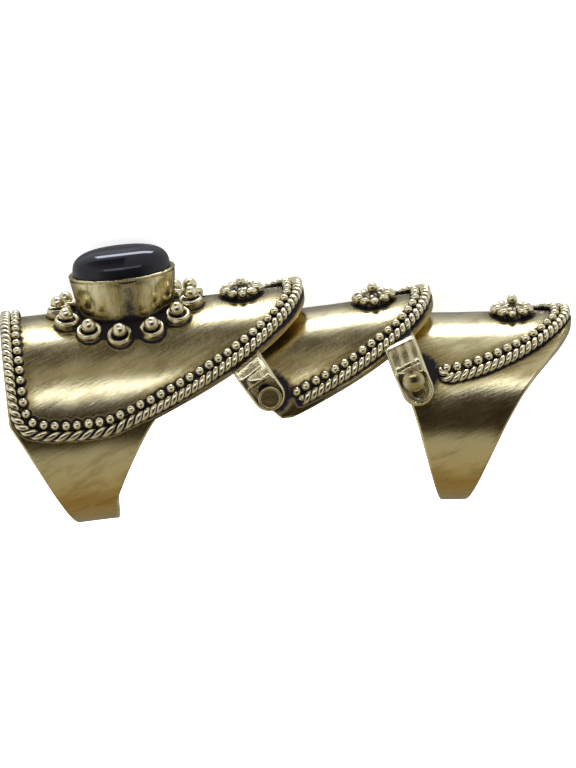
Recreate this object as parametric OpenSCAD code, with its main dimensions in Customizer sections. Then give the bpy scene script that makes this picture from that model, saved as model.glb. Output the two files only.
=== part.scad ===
// Articulated full-finger statement ring in three hinged segments, laid on its side.
// Ring frame used while building: +X toward the fingertip, +Z toward the stone,
// -Y toward the viewer of the photo. Angles on a tube are counted from its crown.

/* [Base segment] */
// outside radius of the base tube
base_r = 11.5; // [11:0.1:12]
// thickness of the plate and shank of the base
base_wall = 1.4; // [1.2:0.1:1.6]
// where the rear rim of the base lies along the finger
base_rear_x = -8.5; // [-9.5:0.1:-8]
// how far forward the pointed tip of the base reaches
base_tip_x = 24.65; // [24:0.05:25]
// width of the base shank under the finger
base_shank_w = 3.4; // [2.5:0.1:4.5]

/* [Middle segment] */
// outside radius of the middle saddle
middle_r = 10; // [9.9:0.05:10.05]
// thickness of the middle saddle
middle_wall = 1.3; // [1.1:0.1:1.4]
// how far forward the pointed tip of the middle reaches
middle_tip_x = 11.6; // [11.3:0.05:11.8]
// angle from the crown where the saddle's flanks end
middle_flank = 84; // [80:1:86]
// how much the middle segment is tilted up against the base
middle_lift = 1; // [0:0.5:1.5]

/* [Tip segment] */
// outside radius of the tip tube
tip_r = 10.24; // [10:0.02:10.3]
// thickness of the plate and shank of the tip
tip_wall = 1.4; // [1.2:0.1:1.5]
// how far forward the point of the tip plate reaches
tip_tip_x = 13.15; // [12.8:0.05:13.4]
// how much the tip segment is bent down against the middle
tip_bend = 7; // [5:0.5:9]
// width of the tip shank under the finger
tip_shank_w = 2.7; // [2:0.1:3.5]

/* [Rope and bead border] */
// half width of the raised rope border
rope_r = 0.52; // [0.45:0.01:0.54]
// how high the rope border stands over the plate
rope_h = 0.9; // [0.6:0.05:1]
// radius of the border beads
bead_r = 0.48; // [0.4:0.01:0.49]
// how high the bead centres stand over the plate
bead_lift = 0.33; // [0.2:0.01:0.38]
// distance from the rope's centre to the row of beads
bead_row = 1.08; // [1.06:0.01:1.2]
// spacing of the beads
bead_pitch = 1.22; // [1.1:0.01:1.4]

/* [Bezel and stone] */
// where the middle of the bezel lies along the finger
bezel_x = 5.3; // [5:0.1:5.6]
// half length of the bezel rim
bezel_a = 5.78; // [5.6:0.01:5.9]
// half width of the bezel rim
bezel_b = 4.35; // [4.2:0.01:4.5]
// how much the bezel narrows toward the plate
bezel_taper = 0.55; // [0.2:0.05:0.7]
// height of the bezel rim over the base axis
bezel_top = 15.75; // [15.2:0.05:16]
// thickness of the bezel wall
bezel_wall = 0.45; // [0.35:0.05:0.55]
// depth of the cup that holds the stone
cup_depth = 2.1; // [1.6:0.1:2.4]
// height of the stone's dome over the bezel rim
dome_h = 2.6; // [2:0.1:3]
// gap between the stone and its cup
stone_gap = 0.03; // [0.02:0.01:0.05]

/* [Granules round the bezel] */
// number of ball-topped granules
granules = 13; // [11:1:13]
// half length of the oval they stand on
granule_a = 7.3; // [7.2:0.05:7.5]
// half width of that oval, measured along the plate
granule_b = 6.45; // [6.3:0.05:6.6]
// radius of a granule's cup
granule_r = 1.4; // [1.1:0.05:1.45]
// height of a granule's cup over the plate
granule_h = 0.9; // [0.7:0.05:1.1]
// radius of the ball on a granule
granule_ball = 0.78; // [0.6:0.02:0.8]

/* [Rosettes] */
// number of beads in a rosette
rosette_beads = 12; // [8:1:12]
// radius of the ring they lie on
rosette_r = 1.9; // [1.8:0.05:2]
// radius of a rosette bead
rosette_bead = 0.46; // [0.4:0.01:0.46]
// radius of the ball on the rosette's post
rosette_ball = 0.56; // [0.5:0.02:0.7]

/* [Hinges] */
// radius of the rivet pins
pin_r = 0.65; // [0.55:0.05:0.7]
// radius of the flat heads of the first hinge
head_1_r = 1.29; // [1.2:0.01:1.35]
// radius of the domed heads of the second hinge
head_2_r = 1.24; // [1.15:0.01:1.3]
// half width of the ears
ear_r = 1.9; // [1.8:0.05:2]
// how far the first rivets can slide toward the crown
slot_1 = 0.8; // [0.4:0.1:0.9]
// how far the second rivets can slide toward the palm
slot_2 = 1.6; // [1:0.1:1.7]

/* [Hidden] */
base_in = base_r - base_wall;
middle_in = middle_r - middle_wall;
tip_in = tip_r - tip_wall;
pin_fit = 0.06;
slot_fit = 0.08;
head_fit = 0.05;
far_out = 20;

// How far the borders, beads and balls stand in from the edges and over the plates.
rope_in = 0.6;
rosette_lift = 0.3;
post_r = 0.42;
rosette_cone_h = 1.4;
ball_up = 1.35;
granule_up = 0.45;
// phase of the granules round the bezel
granule_turn = 97;
// where the rosettes stand
rosette_base_x = 17.9;
rosette_middle_x = 5.24;
rosette_tip_x = 6.72;

// hinge axes: h1 in the base frame, h1_m and h2 in the middle frame, h2_t in the tip frame
h1 = [19.6, 2.7];
h1_m = [-7.3, 3.93];
h2 = [8.2, 3.6];
h2_t = [-4.55, 5.93];
// lean of the ears and their slots from upright, crown end to the rear
lean_1 = 29;
lean_2 = 15;
// inner and outer faces of the ears' outer walls, across the finger
ear_1_in = middle_r + 0.15;
ear_1_out = ear_1_in + 1.05;
ear_2_in = 10.05;
ear_2_out = 11;
// where the rivets end inside the walls they hold, and the heights of their heads
pin_1_end = 7.8;
pin_2_end = 6.9;
head_1_h = 0.5;
head_2_h = 0.7;
// outlines of the ears seen along the finger, from the slab out to the saddle it grows from
ear_1_profile = [[ear_1_in, -1], [ear_1_out, -1], [ear_1_out, 4.8], [10.3, 6], [8.9, 8.2],
    [7.6, 7.6], [9, 5.8], [ear_1_in, 4.4]];
ear_2_profile = [[ear_2_in, -1.5], [ear_2_out, -1.5], [ear_2_out, 4.4], [9, 6.4], [7.2, 8.3],
    [5.9, 7.7], [7.5, 6], [ear_2_in, 3.9]];

// how the ring lies on its far side: turns about X, then Y, then Z, then the lift
rest_turn = [-128.9224, 4.4957, 0];
rest_lift = [-21.6901, -1.1325, 13.8437];

// Edges of the plates: position along the finger for an angle from the crown.
// The powers of the pointed arches of base and middle, and of the blunter arch of the tip.
base_p = 1.05;
base_q = 2.3;
tip_p = 1.55;
tip_q = 2;
function arch(a, a0, x0, x1, p, q) =
    x0 + (x1 - x0) * pow(max(0, 1 - pow(min(a, a0) / a0, q)), 1 / p);
function taper(a, a1, x1, grow, k) = x1 + grow * pow((180 - a) / (180 - a1), k);

base_front = function(a) max(
    arch(a, 90, 2, base_tip_x, base_p, base_q),
    a < 70 ? 2 : taper(a, 87, base_shank_w - 2.5, 5.4, 2.4));
base_rear = function(a) taper(a, 87, -2.5, -4.9, 1.8);
middle_front = function(a) arch(a, 84, -5, middle_tip_x, base_p, base_q);
middle_rear_x = -8.6;
middle_rear = function(a) middle_rear_x + 0.16 * (a - 70);
tip_front = function(a) a < 45
    ? arch(a, 84, -2, tip_tip_x, tip_p, tip_q)
    : taper(a, 50, tip_shank_w - 1.1, 8, 2.1);
tip_rear_x = -5.85;
tip_rear = function(a) taper(a, 60, -1.1, -4.3, 1.5);

// Centre line of each rope border as an arch: [angle at its rear end, x there, x at the tip].
base_rope = [84, 2, base_tip_x - rope_in];
middle_rope = [80.5, -7.3, middle_tip_x - 0.65];
tip_rope = [59, -2, tip_tip_x - rope_in];
rope_rear_x = -7.9;
middle_rope_end = -4.75;
tip_rope_end = -1.8;
// The same arch moved outward on a tube of radius r by d, p and q being its shape.
function rope_edge(c, r, d, p, q) =
    let(turn = d / r * 180 / PI) function(a) arch(a, c[0] + turn, c[1], c[2] + d, p, q);

function along(c, a, p, q) = [arch(a, c[0], c[1], c[2], p, q), a];

// Half paths of the ropes as [x, angle], from the front of the crown to the rear.
base_half = concat(
    [for (i = [1:15]) let(a = 84 * sin(i * 6)) along(base_rope, a, base_p, base_q)],
    [[-0.3, 84.3], [-3.7, 83.5], [-6.4, 80], [-7.5, 73]],
    [for (a = [62:-12:2]) [rope_rear_x, a]]);
middle_half = [for (i = [1:15])
    let(a = 74.5 * sin(i * 6)) along(middle_rope, a, base_p, base_q)];
tip_half = concat(
    [for (i = [1:13]) let(a = 57 * sin(i * 6.4)) along(tip_rope, a, tip_p, tip_q)],
    [[-1.5, 58]]);

// A half path with its mirror image on the far flank.
function mirrored(half) = concat(
    [for (i = [len(half) - 1:-1:0]) [half[i][0], -half[i][1]]],
    [[half[0][0] + 0.02, 0]],
    half);

// The same path on the unrolled tube, and helpers to walk along it.
function unroll(path, r) = [for (p = path) [p[0], r * p[1] * PI / 180]];
function roll_up(path, r) = [for (p = path) [p[0], p[1] / r * 180 / PI]];
function heading(path, i, closed) =
    let(n = len(path),
        b = closed ? path[(i + 1) % n] : path[min(i + 1, n - 1)],
        a = closed ? path[(i + n - 1) % n] : path[max(i - 1, 0)])
    (b - a) / norm(b - a);
function inset(path, d, closed) = [for (i = [0:len(path) - 1])
    let(t = heading(path, i, closed)) path[i] + d * [-t[1], t[0]]];
function looped(path, closed) = closed ? concat(path, [path[0]]) : path;
function walked(path) = [for (i = 0, s = 0; i < len(path);
    s = s + (i + 1 < len(path) ? norm(path[i + 1] - path[i]) : 0), i = i + 1) s];
function spaced(path, pitch, closed) =
    let(s = walked(path), total = s[len(s) - 1], n = round(total / pitch))
    [for (k = [0:closed ? n - 1 : n])
        let(want = total * k / n,
            i = max([for (j = [0:len(s) - 2]) if (s[j] <= want + 0.0001) j]),
            u = (want - s[i]) / (s[i + 1] - s[i]))
        path[i] + u * (path[i + 1] - path[i])];

module beads(path, r, closed) {
    row = looped(inset(unroll(path, r), bead_row, closed), closed);
    for (p = roll_up(spaced(row, bead_pitch, closed), r))
        rotate([p[1], 0, 0])
        translate([p[0], 0, r + bead_lift])
        sphere(r = bead_r, $fn = 16);
}

// A tube along X between two edge curves, cut in bands so the edges stay square to the wall.
// Where the rear curve lies behind rear_x, the tube's own flat end is the rear edge.
module saddle(r, r_in, front, rear, rear_x, flank, bands) {
    step = 2 * flank / bands;
    mid = (r + r_in) / 2;
    fine = 4;
    intersection() {
        translate([rear_x, 0, 0])
            rotate([0, 90, 0])
            difference() {
                cylinder(r = r, h = 3 * far_out, $fn = 144);
                translate([0, 0, -1])
                    cylinder(r = r_in, h = 4 * far_out, $fn = 144);
            }
        union() {
            for (k = [0:bands - 1]) {
                centre = -flank + step * (k + 0.5);
                over = 1.5;
                angles = [for (j = [0:fine])
                    let(raw = centre - step / 2 - over + (step + 2 * over) * j / fine)
                    flank < 180 ? max(-flank, min(flank, raw)) : raw];
                rotate([centre, 0, 0])
                    linear_extrude(height = r + 2)
                    polygon(concat(
                        [for (a = angles) [front(wrap(a)), -mid * sin(a - centre)]],
                        [for (j = [fine:-1:0])
                            [rear(wrap(angles[j])), -mid * sin(angles[j] - centre)]]));
            }
        }
    }
}
function wrap(a) = min(abs(a), 360 - abs(a));

// The raised rope border of a tube: what lies between its outer and its inner arch.
module rope(r, outer, outer_rear, outer_flank, inner, inner_rear, inner_flank) {
    behind = function(a) -2 * far_out;
    difference() {
        saddle(r + rope_h, r - 0.3, outer, behind, outer_rear, outer_flank, 6);
        saddle(r + 3, r - 2, inner, behind, inner_rear, inner_flank, 6);
    }
}
module base_border() {
    rope(base_r,
        rope_edge(base_rope, base_r, rope_r, base_p, base_q), rope_rear_x - rope_r, 86,
        rope_edge(base_rope, base_r, -rope_r, base_p, base_q), rope_rear_x + rope_r, 81.4);
    beads(mirrored(base_half), base_r, true);
}
module middle_border() {
    rope(middle_r,
        rope_edge(middle_rope, middle_r, rope_r, base_p, base_q), middle_rope_end, 79,
        rope_edge(middle_rope, middle_r, -rope_r, base_p, base_q), -far_out, 77);
    beads(mirrored(middle_half), middle_r, false);
}
module tip_border() {
    rope(tip_r,
        rope_edge(tip_rope, tip_r, rope_r, tip_p, tip_q), tip_rope_end, 61,
        rope_edge(tip_rope, tip_r, -rope_r, tip_p, tip_q), -far_out, 56);
    beads(mirrored(tip_half), tip_r, false);
}

// Ears: a round-ended strap seen from the side, as thick as its profile seen along the finger.
module strap(at, lean, up, down, half) {
    translate(at)
        rotate([0, 0, lean]) {
            translate([0, -down])
                circle(r = half, $fn = 48);
            translate([-half + 0.01, -down])
                square([2 * half - 0.02, up + down]);
        }
}
module across(width) {
    rotate([90, 0, 0])
        linear_extrude(height = width, center = true)
        children();
}
module ears(at, lean, up, down, profile) {
    intersection() {
        across(2 * far_out)
            strap(at, lean, up, down, ear_r);
        for (side = [0, 1])
            mirror([0, side, 0])
            translate([at[0] - far_out / 2, 0, 0])
            rotate([90, 0, 90])
            linear_extrude(height = far_out)
            polygon(profile);
    }
}
// The slot a pin of these ears slides in, toward the crown when travel is positive.
module slot(at, lean, travel) {
    r = pin_r + slot_fit;
    across(3 * far_out)
        translate(at)
        rotate([0, 0, lean]) {
            circle(r = r, $fn = 40);
            translate([0, travel])
                circle(r = r, $fn = 40);
            translate([-r + 0.005, min(0, travel)])
                square([2 * r - 0.01, abs(travel)]);
        }
}
module pin_hole(at) {
    across(3 * far_out)
        translate(at)
        circle(r = pin_r + pin_fit, $fn = 40);
}

module rosette(x, r) {
    for (i = [0:rosette_beads - 1]) {
        t = 360 * (i + 0.5) / rosette_beads;
        rotate([rosette_r * sin(t) / r * 180 / PI, 0, 0])
            translate([x + rosette_r * cos(t), 0, r + rosette_lift])
            sphere(r = rosette_bead, $fn = 16);
    }
    translate([x, 0, r - 0.5]) {
        cylinder(r1 = rosette_r, r2 = post_r, h = rosette_cone_h, $fn = 32);
        cylinder(r = post_r, h = ball_up + 0.5, $fn = 24);
    }
    translate([x, 0, r + ball_up])
        sphere(r = rosette_ball, $fn = 24);
}

// A closed solid lofted through ovals of [half length, half width, height].
module oval_loft(sections) {
    n = 40;
    m = len(sections);
    ring = [for (s = sections) for (i = [0:n - 1])
        [s[0] * cos(360 * i / n), s[1] * sin(360 * i / n), s[2]]];
    quads = [for (k = [0:m - 2]) for (i = [0:n - 1])
        [k * n + i, (k + 1) * n + i, (k + 1) * n + (i + 1) % n, k * n + (i + 1) % n]];
    polyhedron(ring, concat(
        [[for (i = [0:n - 1]) i]],
        [for (q = quads) [q[0], q[1], q[2]]],
        [for (q = quads) [q[0], q[2], q[3]]],
        [[for (i = [n - 1:-1:0]) (m - 1) * n + i]]));
}
cup_a = bezel_a - bezel_wall;
cup_b = bezel_b - bezel_wall;
cup_floor = bezel_top - cup_depth;

module bezel() {
    translate([bezel_x, 0, 0])
        difference() {
            oval_loft([
                [bezel_a - bezel_taper, bezel_b - bezel_taper, base_in + 0.3],
                [bezel_a, bezel_b, bezel_top]]);
            oval_loft([
                [cup_a, cup_b, cup_floor],
                [cup_a, cup_b, bezel_top + 1]]);
        }
}

module granule_ring() {
    for (i = [0:granules - 1]) {
        t = granule_turn + 360 * i / granules;
        x = bezel_x + granule_a * cos(t);
        a = granule_b * sin(t) / base_r * 180 / PI;
        rotate([a, 0, 0])
            translate([x, 0, base_r]) {
                translate([0, 0, -0.6])
                    cylinder(r = granule_r, h = granule_h + 0.6, $fn = 32);
                translate([0, 0, granule_h + granule_up])
                    sphere(r = granule_ball, $fn = 24);
            }
    }
}

module base_solid() {
    difference() {
        union() {
            saddle(base_r, base_in, base_front, base_rear, base_rear_x, 180, 12);
            ears(h1, lean_1, 5, -0.2, ear_1_profile);
            base_border();
            rosette(rosette_base_x, base_r);
            granule_ring();
            bezel();
        }
        slot(h1, lean_1, slot_1);
    }
}

module stone_solid() {
    power = 2.3;
    steps = 8;
    a = cup_a - stone_gap;
    b = cup_b - stone_gap;
    translate([bezel_x, 0, 0])
        oval_loft(concat(
            [[a - 0.2, b - 0.2, cup_floor + stone_gap], [a, b, cup_floor + 0.4]],
            [for (i = [0:steps])
                let(t = 84 * i / steps, f = pow(cos(t), 2 / power), g = pow(sin(t), 2 / power))
                [a * f, b * f, bezel_top + dome_h * g]]));
}

module middle_solid() {
    difference() {
        union() {
            saddle(middle_r, middle_in, middle_front, middle_rear, middle_rear_x, middle_flank, 7);
            ears(h2, lean_2, 4.2, 1.25, ear_2_profile);
            middle_border();
            rosette(rosette_middle_x, middle_r);
        }
        slot(h2, lean_2, -slot_2);
        pin_hole(h1_m);
    }
}

module tip_solid() {
    difference() {
        union() {
            saddle(tip_r, tip_in, tip_front, tip_rear, tip_rear_x, 180, 10);
            tip_border();
            rosette(rosette_tip_x, tip_r);
        }
        pin_hole(h2_t);
    }
}

module rivet(at, end_y, head_y, head_r, head_h, domed) {
    translate([at[0], 0, at[1]])
        rotate([90, 0, 0]) {
            translate([0, 0, end_y])
                cylinder(r = pin_r, h = head_y - end_y + 0.1, $fn = 72);
            translate([0, 0, head_y])
                if (domed) {
                    ball = (pow(head_r, 2) + pow(head_h, 2)) / (2 * head_h);
                    intersection() {
                        cylinder(r = head_r, h = head_h + 0.1, $fn = 48);
                        translate([0, 0, head_h - ball])
                            sphere(r = ball, $fn = 96);
                    }
                } else {
                    difference() {
                        cylinder(r = head_r, h = head_h, $fn = 72);
                        translate([0, 0, head_h - 0.12])
                            cylinder(r = head_r - 0.25, h = 1, $fn = 72);
                    }
                }
        }
}

// Frames of the segments in the ring frame, in the pose of the photo.
module middle_frame() {
    translate([h1[0], 0, h1[1]])
        rotate([0, -middle_lift, 0])
        translate([-h1_m[0], 0, -h1_m[1]])
        children();
}
module tip_frame() {
    middle_frame()
        translate([h2[0], 0, h2[1]])
        rotate([0, tip_bend, 0])
        translate([-h2_t[0], 0, -h2_t[1]])
        children();
}
module laid() {
    translate(rest_lift)
        rotate(rest_turn)
        children();
}

// which piece to draw

module base_segment() color([0.72, 0.62, 0.4]) laid() base_solid();
module stone() color([0.03, 0.03, 0.04]) laid() stone_solid();
module rivet_1_near() color([0.8, 0.7, 0.45]) laid()
    rivet(h1, pin_1_end, ear_1_out + head_fit, head_1_r, head_1_h, false);
module rivet_1_far() color([0.8, 0.7, 0.45]) laid() mirror([0, 1, 0])
    rivet(h1, pin_1_end, ear_1_out + head_fit, head_1_r, head_1_h, false);
module middle_segment() color([0.72, 0.62, 0.4]) laid() middle_frame() middle_solid();
module rivet_2_near() color([0.8, 0.7, 0.45]) laid() middle_frame()
    rivet(h2, pin_2_end, ear_2_out + head_fit, head_2_r, head_2_h, true);
module rivet_2_far() color([0.8, 0.7, 0.45]) laid() middle_frame() mirror([0, 1, 0])
    rivet(h2, pin_2_end, ear_2_out + head_fit, head_2_r, head_2_h, true);
module tip_segment() color([0.72, 0.62, 0.4]) laid() tip_frame() tip_solid();

base_segment();
stone();
rivet_1_near();
rivet_1_far();
middle_segment();
rivet_2_near();
rivet_2_far();
tip_segment();
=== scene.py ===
# %% [markdown]
# # A finger ring in three hinged segments
# The real thing is antique brass: three curved saddle plates, bordered with twisted rope and
# beads, hinged at the knuckles, with a black oval stone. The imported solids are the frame. They
# have the right places and sizes, and this lesson dresses them: every plate, rope, bead and
# rivet is built again with fine meshes in the same place, and gets a worn brass finish.

from math import acos, cos, degrees, exp, hypot, pi, radians, sin, sqrt

import bpy
import numpy as np
from mathutils import Matrix, Vector
from mathutils.kdtree import KDTree


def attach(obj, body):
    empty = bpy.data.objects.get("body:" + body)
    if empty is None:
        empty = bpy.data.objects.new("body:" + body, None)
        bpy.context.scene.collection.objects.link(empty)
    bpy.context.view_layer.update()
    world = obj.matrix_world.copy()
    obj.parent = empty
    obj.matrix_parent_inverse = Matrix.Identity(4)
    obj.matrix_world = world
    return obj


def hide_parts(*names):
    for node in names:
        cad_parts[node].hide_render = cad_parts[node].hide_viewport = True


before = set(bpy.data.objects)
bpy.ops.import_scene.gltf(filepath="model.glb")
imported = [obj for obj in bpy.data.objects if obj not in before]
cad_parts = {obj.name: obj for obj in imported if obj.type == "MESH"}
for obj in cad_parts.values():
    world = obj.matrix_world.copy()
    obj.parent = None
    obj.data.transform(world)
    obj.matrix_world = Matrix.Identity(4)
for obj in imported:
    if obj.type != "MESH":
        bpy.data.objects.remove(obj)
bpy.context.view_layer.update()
MM = 0.001

# %% [markdown]
# ## Where the three segments are
# A jeweller thinks of this ring as worn: x runs along the finger to its tip, z rises to the
# stone, and -y is the flank that the photograph shows. The row lies on its far flank, so all
# points are worked out in that ring frame and turned over once, at the end. The middle and
# tip segments have frames of their own, each turned about the hinge pin that holds it.

# %% Frames of the segments
def step_up(v, low, high):
    """0 below low, 1 above high, and a soft step between them."""
    t = min(1.0, max(0.0, (v - low) / (high - low)))
    return t * t * (3 - 2 * t)


def turn_x(a):
    c, s = cos(radians(a)), sin(radians(a))
    return np.array([[1, 0, 0], [0, c, -s], [0, s, c]])


def turn_y(a):
    c, s = cos(radians(a)), sin(radians(a))
    return np.array([[c, 0, s], [0, 1, 0], [-s, 0, c]])


LAY = turn_y(4.4957) @ turn_x(-128.9224)
LIFT = np.array([-21.6901, -1.1325, 13.8437])
PIN_1, PIN_1_ON_MIDDLE = np.array([19.6, 0, 2.7]), np.array([-7.3, 0, 3.93])
PIN_2, PIN_2_ON_TIP = np.array([8.2, 0, 3.6]), np.array([-4.55, 0, 5.93])
MIDDLE_TURN, TIP_TURN = turn_y(-1), turn_y(7)


def in_ring(points, segment):
    """Points of a segment's own frame, in the ring frame. All are rows of x, y, z in mm."""
    p = np.asarray(points, float)
    if segment == "tip":
        p = (p - PIN_2_ON_TIP) @ TIP_TURN.T + PIN_2
    if segment != "base":
        p = (p - PIN_1_ON_MIDDLE) @ MIDDLE_TURN.T + PIN_1
    return p


def in_row(points, segment="base"):
    """The same points as they lie in the row, in metres."""
    return (in_ring(points, segment) @ LAY.T + LIFT) * MM


print("first pin at", in_row([PIN_1])[0].round(5), "second", in_row([PIN_2], "middle")[0].round(5))

# %% [markdown]
# ## Mesh helpers
# Everything here is a grid of points bent into shape, so one helper joins rows of points by
# quads, and others make the Blender object. Each vertex carries what the finish needs: one
# value is how far it is from the nearest recess in mm, where black patina stays, and on the
# beads, the bezel, the ears and round the rosettes it also holds painted shade, highlight and
# reflection; `lie` is its place on the unrolled metal, which steers the brush marks; `within`
# marks the inner side.

# %% Grids and pieces
def grid_faces(rows, cols, close_rows=False, first=0):
    """Quads between neighbouring rows of a grid, whose rows are loops of cols points each."""
    faces = []
    for i in range(rows if close_rows else rows - 1):
        for j in range(cols):
            a, b = i * cols, (i + 1) % rows * cols
            k = (j + 1) % cols
            faces.append((first + a + j, first + a + k, first + b + k, first + b + j))
    return faces


def tube_faces(rows, cols, closed):
    """The same for a tube that is joined end to end, or else has a flat face at each end."""
    faces = grid_faces(rows, cols, close_rows=closed)
    if not closed:
        last = (rows - 1) * cols
        faces += [tuple(range(cols - 1, -1, -1)), tuple(range(last, last + cols))]
    return faces


def merge(parts):
    """Joins parts, each (points, faces, clear, lie, within), into one."""
    points, faces, clear, lie, within, n = [], [], [], [], [], 0
    for p, f, c, u, w in parts:
        points.append(p)
        faces += [tuple(n + v for v in q) for q in f]
        clear.append(np.broadcast_to(c, len(p)))
        lie.append(u)
        within.append(np.broadcast_to(w, len(p)))
        n += len(p)
    return (np.vstack(points), faces, np.concatenate(clear), np.vstack(lie), np.concatenate(within))


def placed(name, data):
    """Puts a new object into the scene."""
    made = bpy.data.objects.new(name, data)
    bpy.context.scene.collection.objects.link(made)
    return made


def piece(name, part, segment, body, finish, replaces=()):
    """Makes one shown piece from a part whose points are in the segment's frame."""
    points, faces, clear, lie, within = part
    mesh = bpy.data.meshes.new(name)
    mesh.from_pydata(in_row(points, segment).tolist(), [], faces)
    mesh.shade_smooth()
    for key, kind, values in (
        ("clear", "FLOAT", clear), ("within", "FLOAT", within), ("lie", "FLOAT_VECTOR", lie),
    ):
        layer = mesh.attributes.new(key, kind, "POINT")
        field = "vector" if kind == "FLOAT_VECTOR" else "value"
        whole = np.broadcast_to(values, (len(points), 3) if field == "vector" else len(points))
        layer.data.foreach_set(field, np.ascontiguousarray(whole, np.float32).ravel())
    mesh.materials.append(finish)
    made = placed(name, mesh)
    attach(made, body)
    if replaces:
        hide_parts(*replaces)
    print(f"{name}: {len(points)} points, {len(faces)} faces")


# %% [markdown]
# ## The finish: shader maths as Python
# A material in Blender is a tree of nodes. Wiring it by hand is slow to read, so a small
# class wraps one socket and turns `+ - *` into Math nodes. Colours and vectors go through
# Mix and Vector Math instead, because a Math node would turn them grey.

# %% Wires
class Wire:
    """One number in a material, as an output socket that can be reckoned with."""

    def __init__(self, tree, socket):
        self.tree, self.socket = tree, socket

    def math(self, operation, a, b):
        return self.tree.wire("ShaderNodeMath", {"operation": operation}, {0: a, 1: b})

    def __add__(self, other):
        return self.math("ADD", self, other)

    def __sub__(self, other):
        return self.math("SUBTRACT", self, other)

    def __mul__(self, other):
        return self.math("MULTIPLY", self, other)

    def __rsub__(self, other):
        return self.math("SUBTRACT", other, self)

    __radd__, __rmul__ = __add__, __mul__

    def above(self, low, high):
        """0 below low, 1 above high, and a soft step between them."""
        return self.tree.wire("ShaderNodeMapRange", {"interpolation_type": "SMOOTHSTEP"},
                              {"Value": self, "From Min": low, "From Max": high})


class Wiring:
    """A tree of nodes being built. Its method node makes every node in it."""

    def __init__(self, tree):
        self.tree = tree

    def node(self, kind, settings=None, sockets=None):
        made = self.tree.nodes.new(kind)
        for key, value in (settings or {}).items():
            if key == "stops":
                self.set_stops(made.color_ramp, value)
            else:
                setattr(made, key, value)
        self.feed(made, sockets or {})
        return made

    def wire(self, kind, settings=None, sockets=None, output=0):
        """A wire from one output of a new node."""
        return Wire(self, self.node(kind, settings, sockets).outputs[output])

    def set_stops(self, ramp, stops):
        while len(ramp.elements) < len(stops):
            ramp.elements.new(1.0)
        for element, (place, colour) in zip(ramp.elements, stops):
            element.position, element.color = place, (*colour, 1)

    def feed(self, node, sockets):
        for key, value in sockets.items():
            if isinstance(value, Wire):
                self.tree.links.new(value.socket, node.inputs[key])
            else:
                node.inputs[key].default_value = value

    def attribute(self, name, output="Fac"):
        return self.wire("ShaderNodeAttribute", {"attribute_name": name}, output=output)

    def stretched(self, vector, by):
        return self.wire("ShaderNodeVectorMath", {"operation": "MULTIPLY"}, {0: vector, 1: by})

    def noise(self, vector, scale, detail=4.0, rough=0.6):
        sockets = {"Vector": vector, "Scale": scale, "Detail": detail, "Roughness": rough}
        return self.wire("ShaderNodeTexNoise", {}, sockets, "Fac")

    def tint(self, share, a, b):
        """Colour a where share is 0 and b where it is 1."""
        return self.wire("ShaderNodeMix", {"data_type": "RGBA"}, {0: share, 6: a, 7: b}, 2)

    def bump(self, height, strength, distance):
        sockets = {"Strength": strength, "Distance": distance, "Height": height}
        return self.wire("ShaderNodeBump", {}, sockets)


class Finish(Wiring):
    """A material being built: its nodes, and the shader that they feed."""

    def __init__(self, name):
        self.material = bpy.data.materials.new(name)
        self.material.use_nodes = True
        super().__init__(self.material.node_tree)
        self.shader = self.tree.nodes["Principled BSDF"]


# %% [markdown]
# ## Antique brass
# The maker blackens the brass and rubs it back with a wire brush. What sticks out comes back
# pale gold with fine scratches, and what lies in a recess stays almost black. So one rule
# makes every brass finish here: the distance from a recess, with some noise on it, decides
# between black and metal, and long thin noise gives the brush marks. Mostly that black is
# patina, but on the beads, the bezel, the ears and round the rosettes the same value also
# paints shade, highlights and reflections. The inner side was never blackened much and is a
# richer, yellower gold.

# %% Colours of the metal
PALE = (0.78, 0.69, 0.40, 1)
CREAM = (0.88, 0.80, 0.53, 1)
OLIVE = (0.31, 0.24, 0.09, 1)
RICH = (0.74, 0.52, 0.16, 1)
BLACK = (0.010, 0.007, 0.009, 1)
SCRATCH_DEPTH = 0.05 * MM


def brass(name, rough=0.24, marks=1.0, patina=(0.08, 0.36), fade=1.25, olive=0.5, hammer=0.0,
          pale=PALE):
    """A brass finish, black up to the distances patina from a recess, and hazy up to fade.

    marks is how strong the brush marks are, olive the share of darker clouds, and hammer the
    height of slow waves.
    """
    m = Finish(name)
    clear, within = m.attribute("clear"), m.attribute("within")
    lie = m.attribute("lie", "Vector")
    cloud = m.noise(lie, 0.3, 3.0, 0.55)
    speck = m.noise(lie, 2.6, 4.0, 0.65)
    lines = m.noise(m.stretched(lie, (0.5, 5.0, 5.0)), 1.0, 4.0, 0.65)
    streak = m.noise(m.stretched(lie, (0.25, 1.0, 1.0)), 1.0, 6.0, 0.72)
    edge = clear + (speck - 0.5) * 0.4 + (cloud - 0.5) * 0.6
    bright = edge.above(*patina)
    smoke = (edge * 0.9 + (lines - 0.5) * 1.2).above(0.1, fade)
    metal = m.tint(smoke, OLIVE, pale)
    metal = m.tint((cloud * 0.4 + streak * 0.6).above(0.46, 0.62) * olive, metal, OLIVE)
    metal = m.tint(within * 0.85, metal, RICH)
    worn = rough + (lines - 0.5) * 0.3 * marks + (speck - 0.5) * 0.16 + (1 - smoke) * 0.08
    relief = lines * 0.8 * marks + speck * 0.5 + cloud * hammer
    m.feed(m.shader, {
        "Base Color": m.tint(bright, BLACK, metal),
        "Roughness": worn * bright + (1 - bright) * 0.55,
        "Metallic": bright * 0.85 + 0.15,
        "Specular IOR Level": 0.2,
        "Normal": m.bump(relief, 0.35, SCRATCH_DEPTH),
    })
    print(name, len(m.tree.nodes), "nodes")
    return m.material


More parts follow.
